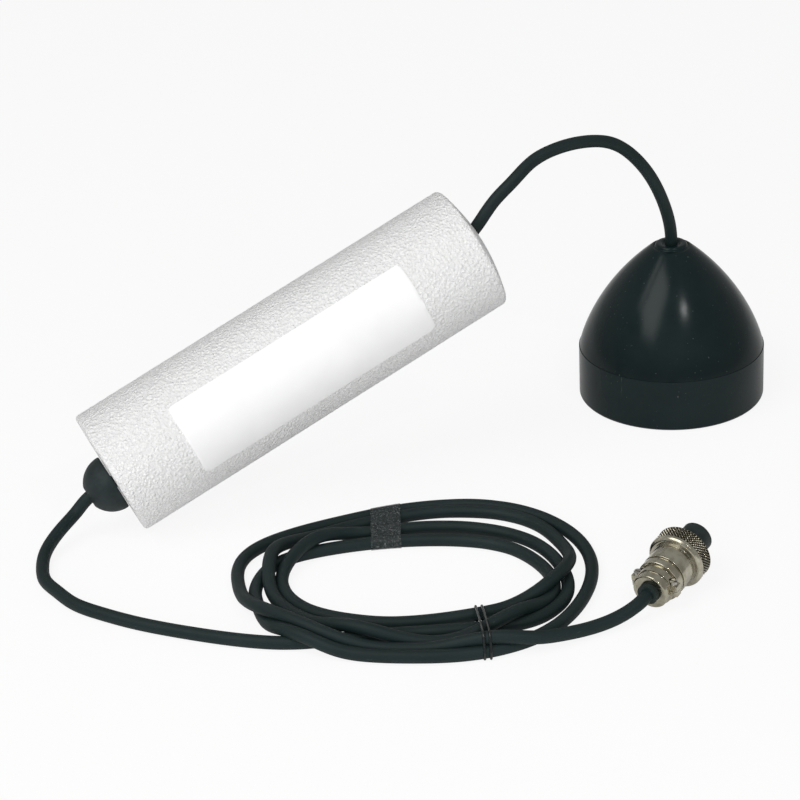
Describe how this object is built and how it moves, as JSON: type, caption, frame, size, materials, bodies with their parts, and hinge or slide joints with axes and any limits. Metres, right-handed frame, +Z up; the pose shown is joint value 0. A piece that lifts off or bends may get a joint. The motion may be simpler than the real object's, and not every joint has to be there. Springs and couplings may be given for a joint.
{
  "type": "sonar transducer",
  "caption": "Bell-shaped sonar transducer puck on a coiled cable, with a white foam float, a rubber float stop and a round screw-on metal plug.",
  "frame": {"origin": "centre of the puck's flat sounding face, which stands on the floor", "axes": "+Z up along the puck's axis, towards the cable; +X to the right and +Y away in the picture"},
  "size_m": [0.2319, 0.2175, 0.1042],
  "materials": {
    "puck_black": "satin black moulded plastic",
    "cable_rubber": "matte black cable jacket",
    "stop_rubber": "matte black rubber",
    "tie_black": "glossy black",
    "clear_tape": "clear tape",
    "white_foam": "white pebbled foam",
    "label_white": "smooth bare white",
    "nickel": "nickel plate",
    "steel": "plain",
    "insert_black": "black moulded",
    "brass": "plain",
    "copper": "plain copper",
    "solder": "plain solder",
    "piezo_ceramic": "plain",
    "cork": "cork",
    "potting": "cast resin"
  },
  "bodies": {
    "transducer": {"base_cup": "puck_black", "housing_dome": "puck_black", "piezo_disc": "piezo_ceramic", "crystal_sleeve": "cork", "crystal_backing": "cork", "solder_beads": "solder", "crystal_leads": "copper", "cable_anchor": "steel", "potting_fill": "potting", "cable_gland": "cable_rubber", "drop_cable": "cable_rubber", "cable_coil": "cable_rubber", "tail_cable": "cable_rubber", "coil_tie": "tie_black", "coil_tape": "clear_tape", "float_stop": "stop_rubber", "back_shell": "nickel", "clamp_saddle": "nickel", "clamp_screws": "steel", "cable_sleeve": "stop_rubber", "plug_body": "nickel", "retaining_ring": "steel", "contact_insert": "insert_black", "contact_sockets": "brass", "core_wires": "copper", "set_screw": "steel"},
    "coupling_ring": {"coupling_ring": "nickel"},
    "float": {"foam_float": "white_foam", "float_label": "label_white"}
  },
  "joints": [
    {"name": "ring_spin", "type": "hinge", "parent": "transducer", "child": "coupling_ring", "pos_m": [0.00249, -0.13604, 0.00951], "axis": [0.4758, 0.8655, 0.1564], "continuous": true},
    {"name": "float_turn", "type": "hinge", "parent": "transducer", "child": "float", "pos_m": [-0.1222, -0.0742, 0.04743], "axis": [0.8259, 0.4028, 0.3946], "continuous": true}
  ]
}
